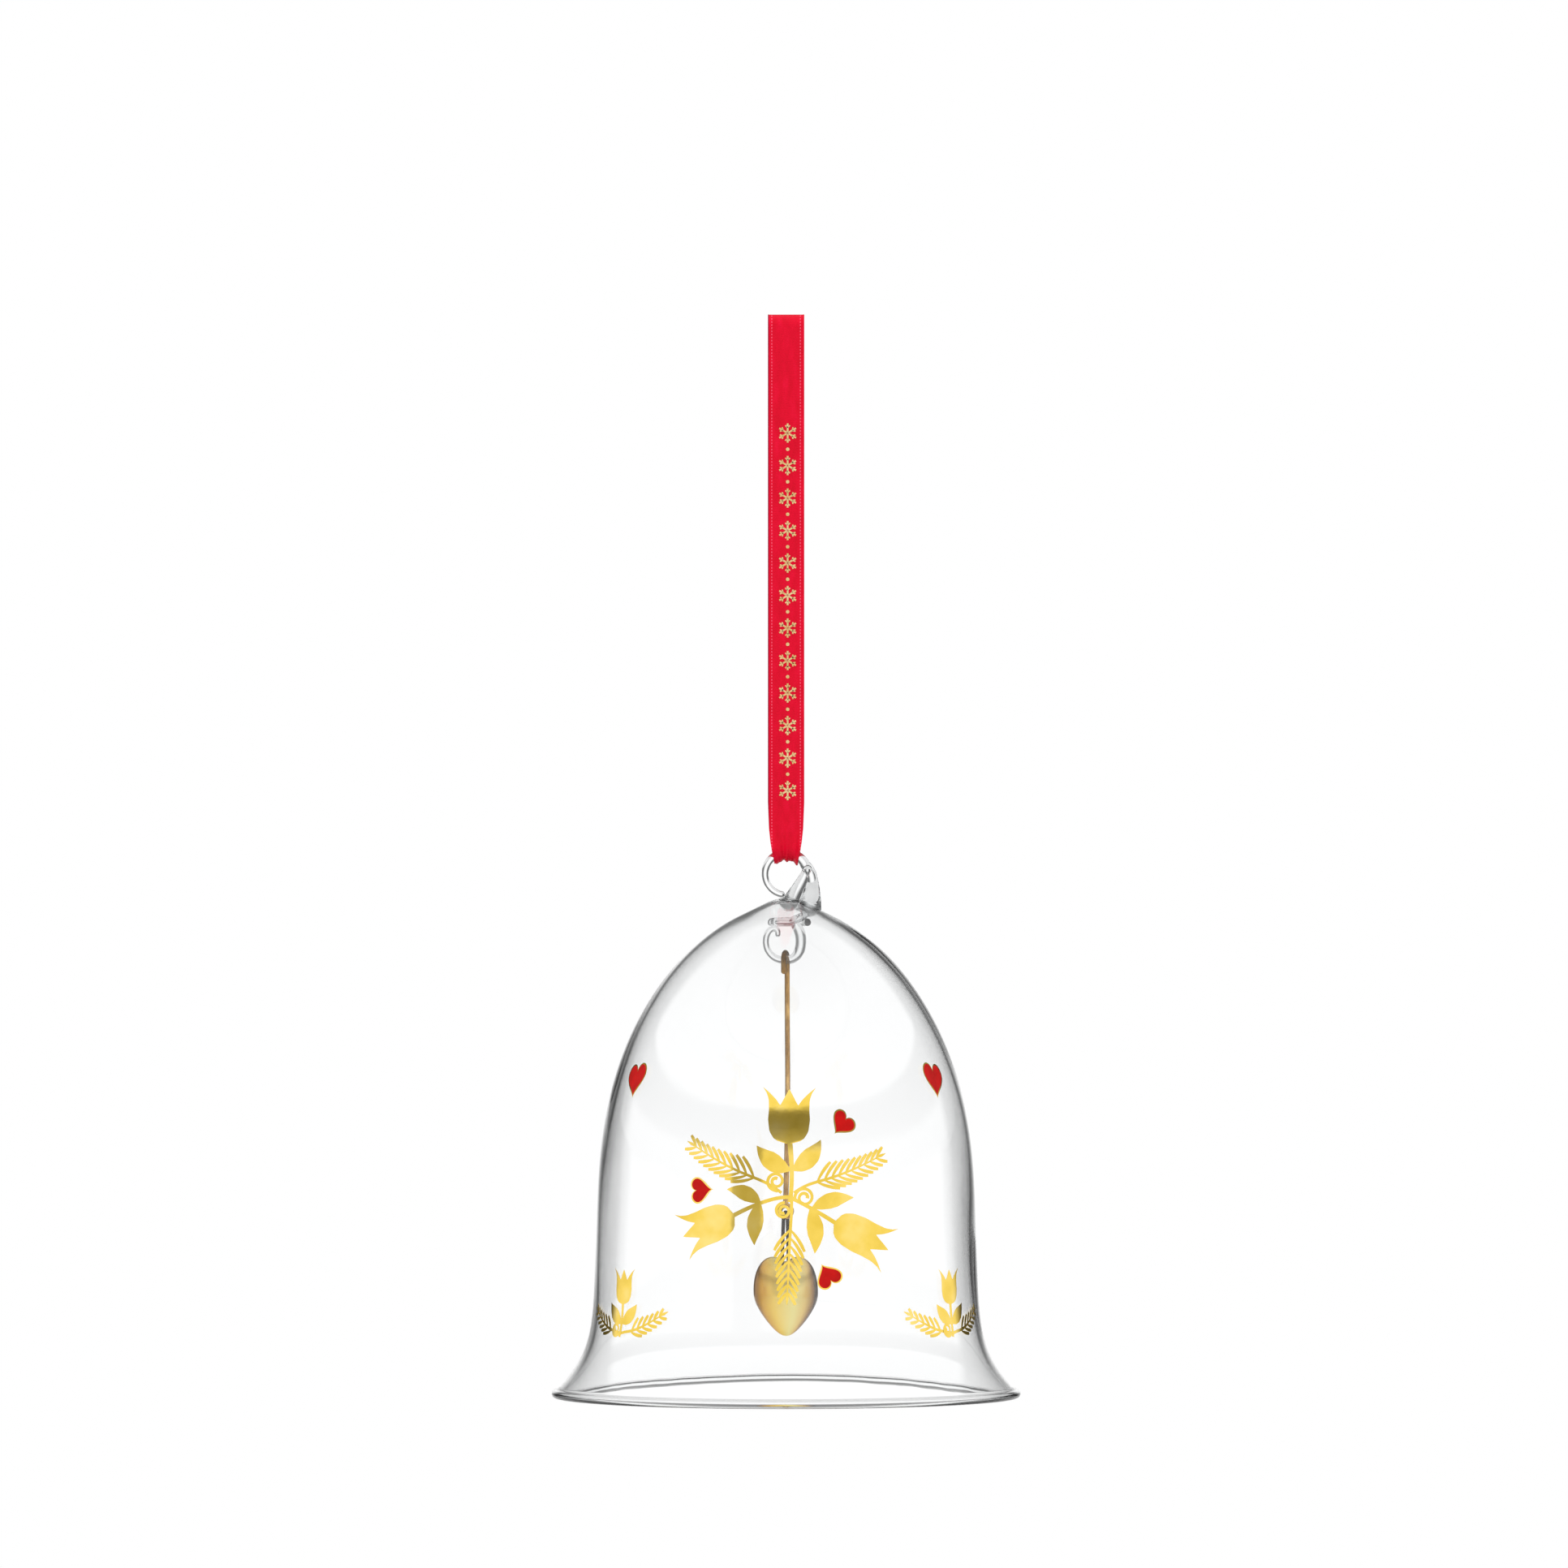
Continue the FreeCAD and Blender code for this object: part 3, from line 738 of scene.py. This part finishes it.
class Painting:
    """Thin films laid on the glass. Each one lies a hair above the one before it."""

    def __init__(self, azimuth=0.0):
        self.azimuth = math.radians(azimuth)
        self.layer = 0
        self.films = {}

    def lay(self, kind, points, faces):
        """Points are across (mm along the glass) and up (mm above the rim)."""
        points = np.asarray(points, float)
        self.layer += 1
        lift = FIRST_LIFT + LIFT_STEP * self.layer
        angle = self.azimuth + points[:, 0] / FRONT_RADIUS
        radius = wall_radius(angle, points[:, 1])
        low = round_surface(angle, radius + lift, points[:, 1])
        high = round_surface(angle, radius + lift + FILM, points[:, 1])
        verts, polygons = self.films.setdefault(kind, ([], []))
        start, half = sum(len(v) for v in verts), len(points)
        verts += [low, high]
        edges = dict.fromkeys(edge for face in faces for edge in zip(face, face[1:] + face[:1]))
        polygons += [tuple(start + v for v in face)[::-1] for face in faces]
        polygons += [tuple(start + half + v for v in face) for face in faces]
        polygons += [(start + a, start + b, start + half + b, start + half + a)
                     for a, b in edges if (b, a) not in edges]

    def blade(self, kind, spine, widths, columns=5):
        """A leaf, needle or stem: a middle line of three or more points, and its half-widths."""
        spine, count = np.asarray(spine, float), 18
        if len(spine) > 3:
            line = spline(spine, max(count, 6 * len(spine)))
        else:
            even = np.linspace(0, 1, count)[:, None]
            left, bend, right = spine
            line = (1 - even) ** 2 * left + 2 * even * (1 - even) * bend + even ** 2 * right
        share = along(line) / along(line)[-1]
        half = np.interp(share, np.linspace(0, 1, len(widths)), widths)
        ahead = np.gradient(line, axis=0)
        ahead /= np.linalg.norm(ahead, axis=1)[:, None]
        side = np.stack([-ahead[:, 1], ahead[:, 0]], axis=1)
        across = np.linspace(-1, 1, columns)
        points = line[:, None, :] + side[:, None, :] * (half[:, None] * across)[:, :, None]
        self.lay(kind, points.reshape(-1, 2), grid_faces(len(line), columns))

    def heart(self, centre, size, degrees, kind="red", grow=0.0, inner=0.04):
        """A plump heart in rings; degrees turn its point anticlockwise from straight down."""
        turn = np.radians(np.linspace(0, 360, HEART_SIDES, endpoint=False))
        waves = zip((13, -5, -2, -1), (1, 2, 3, 4))
        up = sum(share * np.cos(times * turn) for share, times in waves) / 16
        rim = np.stack([np.sin(turn) ** 3, up + 0.1], axis=1) * (size / 2)
        rim += rim / np.linalg.norm(rim, axis=1)[:, None] * grow
        rings = np.linspace(inner, 1, 7)
        points = np.concatenate([rim * ring for ring in rings])
        lean = math.radians(degrees)
        spin = np.array([[math.cos(lean), -math.sin(lean)], [math.sin(lean), math.cos(lean)]])
        points = points @ spin.T + np.asarray(centre, float)
        middle = [tuple(range(HEART_SIDES))[::-1]] if inner < 0.1 else []
        self.lay(kind, points, grid_faces(len(rings), HEART_SIDES, closed=True) + middle)

    def lined_heart(self, centre, size, degrees):
        """A red heart with a gold line round it."""
        self.heart(centre, size, degrees, "gold", 0.30, inner=0.80)
        self.heart(centre, size, degrees)

    def finish(self, name, materials):
        """Makes one piece of each kind of film."""
        for kind, (verts, faces) in self.films.items():
            points = to_frame(np.concatenate(verts))
            film = piece(f"{name}_{kind}", points, faces, materials[kind], "bell")
            film.data.set_sharp_from_angle(angle=math.radians(35))


def aimed(points, base, degrees):
    """Points drawn upright, turned clockwise and moved to a base."""
    turn = math.radians(degrees)
    points = np.asarray(points, float)
    across = points[:, 0] * math.cos(turn) + points[:, 1] * math.sin(turn)
    up = -points[:, 0] * math.sin(turn) + points[:, 1] * math.cos(turn)
    return np.stack([across, up], axis=1) + np.asarray(base, float)


def tulip(paint, base, degrees, tall, wide):
    """A rounded cup whose rim rises in three pointed petals, the outer two flaring."""
    rows = np.linspace(0, 1, 22)
    columns = np.linspace(-1, 1, 41)
    crest = np.interp(columns, [-1, -0.86, -0.44, -0.16, 0, 0.16, 0.44, 0.86, 1],
                      [1.0, 0.90, 0.68, 0.86, 0.97, 0.86, 0.68, 0.90, 1.0]) * tall
    cup = [(0, 0.10), (0.03, 0.36), (0.10, 0.56), (0.22, 0.70), (0.42, 0.76), (0.60, 0.74),
           (0.78, 0.76), (0.90, 0.85), (1, 1)]
    rise = rows[:, None] * crest[None, :]
    half = np.interp(rise / tall, [h for h, _ in cup], [w for _, w in cup]) * wide / 2
    points = np.stack([columns[None, :] * half, rise], axis=-1).reshape(-1, 2)
    paint.lay("gold", aimed(points, base, degrees), grid_faces(len(rows), len(columns)))


def leaf(paint, base, tip, bulge, half):
    """A pointed leaf from base to tip, bowed to one side."""
    base, tip = np.asarray(base, float), np.asarray(tip, float)
    way = tip - base
    side = np.array([-way[1], way[0]]) / np.linalg.norm(way)
    paint.blade("gold", [base, (base + tip) / 2 + side * bulge, tip],
                [0.15, half * 0.72, half, half * 0.95, half * 0.55, 0.04], 7)


def sprig(paint, start, bare, tip, pairs, needle, bow=0.0):
    """A fir twig: a thin bowed stem, then pairs of long slanting needles to the tip."""
    start, bare, tip = (np.asarray(p, float) for p in (start, bare, tip))
    way = (tip - bare) / np.linalg.norm(tip - bare)
    side = np.array([-way[1], way[0]]) * bow
    paint.blade("gold", [start, (start + bare) / 2 - side, bare, (bare + tip) / 2 + side, tip],
                [0.28, 0.28, 0.24, 0.18, 0.12], 3)
    heading = math.degrees(math.atan2(way[0], way[1]))
    for index in range(pairs):
        share = index / (pairs - 0.4)
        root = bare + (tip - bare) * share + side * math.sin(math.pi * share)
        long = needle * (1 - 0.48 * share)
        for hand in (-1, 1):
            bent = [(0, 0), (hand * long * 0.38, long * 0.36), (hand * long * 0.62, long * 0.88)]
            paint.blade("gold", aimed(bent, root, heading), [0.15, 0.26, 0.32, 0.33, 0.25], 3)
    paint.blade("gold", [tip - way * 0.8, tip + way * 0.3, tip + way * 1.4], [0.12, 0.30, 0.05], 3)


def curl(paint, centre, radius, start, turns=1.6, hand=1):
    """A fine spiral tendril, wound inwards."""
    turn = np.linspace(0, 2 * math.pi * turns, 9 + int(8 * turns))
    reach = radius * (1 - 0.72 * turn / turn[-1])
    angle = math.radians(start) + hand * turn
    line = np.stack([centre[0] + reach * np.sin(angle), centre[1] + reach * np.cos(angle)], axis=1)
    paint.blade("gold", line, [0.30, 0.30, 0.28, 0.26, 0.34], 3)


def front_bouquet(paint):
    """Three tulips, three fir twigs, curls and three hearts, gathered at one joint."""
    joint = np.array([0.5, 39.8])
    sprig(paint, (-0.9, 40.6), (-6.2, 43.4), (-19.0, 49.6), 10, 4.3, 0.5)
    sprig(paint, (1.5, 40.6), (6.0, 42.6), (19.0, 47.4), 10, 4.3, -0.5)
    sprig(paint, (1.1, 37.8), (0.8, 33.6), (0.2, 20.8), 9, 4.6)
    paint.blade("gold", [(1.0, 40.6), (1.1, 39.0), (1.0, 37.4)], [0.3, 0.3, 0.3], 3)
    curl(paint, (-1.9, 42.8), 1.9, 170)
    curl(paint, (3.5, 39.7), 2.0, -110)
    curl(paint, (-0.5, 37.2), 1.6, 10, hand=-1)
    paint.blade("gold", [(0.7, 38.8), (1.2, 41.6), (1.2, 46.4), (0.7, 50.4)],
                [0.40, 0.42, 0.50], 3)
    leaf(paint, (0.9, 44.9), (-5.7, 49.5), 1.5, 1.75)
    leaf(paint, (1.1, 44.9), (6.8, 50.6), -1.5, 1.75)
    tulip(paint, (0.5, 49.9), 1, 10.6, 11.0)
    paint.blade("gold", [joint, (-2.6, 39.8), (-6.4, 38.2), (-10.2, 36.2)], [0.36, 0.36, 0.42], 3)
    leaf(paint, (-4.9, 38.6), (-11.4, 41.2), -1.4, 1.45)
    leaf(paint, (-4.9, 38.8), (-6.0, 30.7), -0.9, 1.55)
    tulip(paint, (-10.0, 36.3), -112, 11.6, 9.2)
    paint.blade("gold", [joint, (2.4, 39.0), (5.4, 37.4), (9.5, 34.8)], [0.36, 0.36, 0.42], 3)
    leaf(paint, (4.9, 37.6), (13.1, 39.6), 1.2, 1.5)
    leaf(paint, (4.6, 37.8), (5.4, 29.1), 1.1, 1.6)
    tulip(paint, (9.3, 34.9), 116, 12.6, 9.2)
    paint.lined_heart((11.3, 53.6), 4.6, -42)
    paint.lined_heart((-16.7, 41.0), 4.5, 95)
    paint.lined_heart((7.9, 24.9), 4.6, -150)


def side_bouquet(paint):
    """A smaller bunch of one tulip and two fir twigs."""
    joint = np.array([0.0, 13.2])
    sprig(paint, joint, (-3.6, 13.6), (-11.6, 17.2), 6, 3.0, 0.3)
    sprig(paint, joint, (3.6, 13.6), (11.6, 17.2), 6, 3.0, -0.3)
    curl(paint, (-1.5, 14.0), 1.4, 110)
    paint.blade("gold", [joint + (0, -0.6), joint + (0.3, 1), (0.2, 19.2)], [0.34, 0.34, 0.38], 3)
    leaf(paint, (0.2, 15.2), (-4.2, 18.9), 0.9, 1.3)
    leaf(paint, (0.2, 15.2), (4.6, 18.9), -0.9, 1.3)
    tulip(paint, (0.2, 18.8), 0, 6.8, 7.0)


def left_bouquet(paint):
    side_bouquet(paint)
    paint.lined_heart((-2.1, 61.6), 6.6, 6)


def right_bouquet(paint):
    side_bouquet(paint)
    paint.lined_heart((1.4, 61.6), 6.8, -6)


# ---------------------------------------------------------------- the scene


class Studio(Graph):
    """The room: a white backdrop behind the object, dark flags either side, light in front."""

    def fade(self, source, start, end):
        """1 up to start, falling to 0 at end; the other way round if end is lower."""
        made = self.add("ShaderNodeMapRange", interpolation_type="SMOOTHSTEP")
        limits = {"From Min": min(start, end), "From Max": max(start, end),
                  "To Min": float(start < end), "To Max": float(start > end)}
        for name, value in limits.items():
            made.inputs[name].default_value = value
        self.link(source, made.inputs["Value"])
        return made.outputs["Result"]

    def bands(self, sine, stops):
        """A grey for each sine, from -1 to 1."""
        where = self.math("MULTIPLY", self.math("ADD", sine, 1.0), 0.5)
        return self.ramp(where, [((stop + 1) / 2, (level,) * 3) for stop, level in stops])


# Metres from the origin, edge in metres, and watts.
SOFT_BOXES = {"overhead": ((0.0, -0.3, 1.3), 1.2, 7.0), "front": ((-0.5, -1.3, 0.6), 0.9, 3.5)}
TABLE_RADIUS, TABLE_DROP = 1.5, 0.15
CAMERA_PLACE, CAMERA_LENS, CAMERA_REACH = (-0.0004, -2.355, RIM + 0.1181), 280.8, 20.0


def surroundings(scene):
    """What the glass and the gold mirror. The camera itself sees plain white."""
    scene.world = bpy.data.worlds.new("studio")
    scene.world.use_nodes = True
    room = Studio(scene.world.node_tree)
    room.tree.nodes.clear()
    across, away, up = room.split(room.add("ShaderNodeTexCoord").outputs["Generated"])
    # Brightness by the sine of the elevation: a dark band between the window light and the
    # overhead one, which the upper part of the painting mirrors.
    front = room.bands(up, [
        (-1.0, 0.55), (-0.30, 0.85), (-0.12, 1.08), (0.195, 1.08), (0.235, 0.55), (0.32, 0.30),
        (0.395, 0.28), (0.42, 1.15), (0.80, 1.0), (1.0, 0.6),
    ])
    flag = room.product(room.fade(across, -0.52, -0.56), room.fade(across, -0.27, -0.22),
                        room.fade(away, -0.30, -0.20), room.fade(up, 0.20, 0.24), 0.62)
    front = room.mix(flag, front, 0.30)
    window = room.product(room.fade(across, 0.08, 0.22), room.fade(across, 0.50, 0.36),
                          room.fade(away, -0.30, -0.10), room.fade(up, 0.16, 0.20), 0.5)
    front = room.mix(window, front, 1.6)
    backdrop = room.product(room.fade(room.math("ABSOLUTE", across), 0.10, 0.42),
                            room.fade(room.math("ABSOLUTE", up), 0.12, 0.50))
    behind = room.product(room.fade(away, 0.62, 0.48), room.math("SUBTRACT", 1.0, backdrop))
    dark = room.mix(room.fade(up, 0.80, 0.30), 0.10, 0.48)
    lit, white = (room.add("ShaderNodeBackground") for _ in range(2))
    room.link(room.mix(behind, front, dark), lit.inputs["Color"])
    white.inputs["Color"].default_value = (1, 1, 1, 1)
    choice = room.add("ShaderNodeMixShader")
    room.link(room.add("ShaderNodeLightPath").outputs["Is Camera Ray"], choice.inputs["Fac"])
    room.link(lit.outputs["Background"], choice.inputs[1])
    room.link(white.outputs["Background"], choice.inputs[2])
    room.link(choice.outputs["Shader"], room.add("ShaderNodeOutputWorld").inputs["Surface"])


def studio():
    """The white room with its lights, table and camera."""
    scene = bpy.context.scene
    scene.view_settings.view_transform = "Standard"
    surroundings(scene)

    # Neither soft box is seen in the glass.
    for name, (where, size, power) in SOFT_BOXES.items():
        lamp = bpy.data.lights.new(name, "AREA")
        lamp.size, lamp.energy = size, power
        light = bpy.data.objects.new(name, lamp)
        scene.collection.objects.link(light)
        light.location = where
        light.rotation_euler = (-Vector(where)).to_track_quat("-Z", "Y").to_euler()
        light.visible_glossy = False
        light.visible_transmission = False

    bpy.ops.mesh.primitive_circle_add(vertices=96, radius=TABLE_RADIUS, fill_type="NGON",
                                      location=(0, 0, RIM - TABLE_DROP))
    floor = bpy.context.object
    floor.name = "table"
    paper = bpy.data.materials.new("white_table")
    paper.use_nodes = True
    shader = paper.node_tree.nodes["Principled BSDF"]
    shader.inputs["Base Color"].default_value = (0.86, 0.86, 0.86, 1)
    shader.inputs["Roughness"].default_value = 0.7
    floor.data.materials.append(paper)

    view = bpy.data.cameras.new("camera")
    view.sensor_width = 36.0
    view.lens = CAMERA_LENS
    view.clip_end = CAMERA_REACH
    camera = bpy.data.objects.new("camera", view)
    scene.collection.objects.link(camera)
    camera.location = CAMERA_PLACE
    camera.rotation_euler = (math.radians(90), 0, 0)
    scene.camera = camera


studio()
tape_line = ribbon(red_satin())
foil_motifs(brass("gold_foil", (0.80, 0.50, 0.20), (0.92, 0.68, 0.36), 0.34), tape_line)

glass = clear_glass()
glass_bell(glass)
hanging_loop(glass)
crown_coil(glass)
clapper_ring(glass)
# The top of the rod's hook is painted dark above a given height, as shade.
clapper_wire(brass("brass_wire", (0.36, 0.18, 0.035), (0.86, 0.54, 0.19), 0.20,
                   painted_shade_above=RIM + PAINTED_SHADE_HEIGHT * MM))
# The heart's wire is coloured near-black as painted shade.
heart_bail(brass("dark_wire", (0.014, 0.008, 0.005), (0.040, 0.024, 0.015), 0.45, metal=0.4))
clapper_heart(gold_lustre())

films = {"gold": mirror_gold(), "red": red_enamel()}
for name, azimuth, draw in (
    ("painting", 0, front_bouquet),
    ("left_painting", -57, left_bouquet),
    ("right_painting", 57, right_bouquet),
):
    paint = Painting(azimuth)
    draw(paint)
    paint.finish(name, films)
